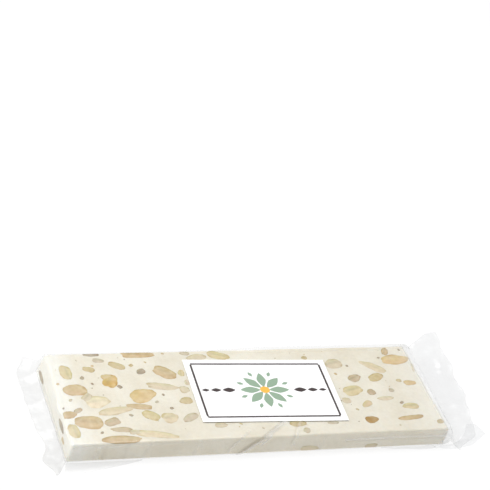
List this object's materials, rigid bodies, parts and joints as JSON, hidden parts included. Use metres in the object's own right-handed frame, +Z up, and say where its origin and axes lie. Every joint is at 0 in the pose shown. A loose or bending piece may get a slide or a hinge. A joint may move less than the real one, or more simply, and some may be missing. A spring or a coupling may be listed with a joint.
{
  "type": "wrapped nougat bar",
  "caption": "Flat bar of almond nougat sealed in a clear film bag with crumpled end flaps and a paper label on top.",
  "frame": {"origin": "under the middle of the wrapped bar's bounding box, on the surface it lies on", "axes": "+X along the bar, +Y across it away from the shown long side, +Z up through the labelled top"},
  "size_m": [0.2046, 0.0744, 0.0108],
  "materials": {
    "clear_film": "clear glossy film over cream nougat with tan almonds",
    "label_paper": null,
    "nougat": "matt cream nougat, under the film",
    "almond": "cut almonds, cream to tan, under the film"
  },
  "bodies": {
    "root": {"wrapped_nougat_bar": "clear_film", "label": "label_paper"}
  },
  "joints": []
}
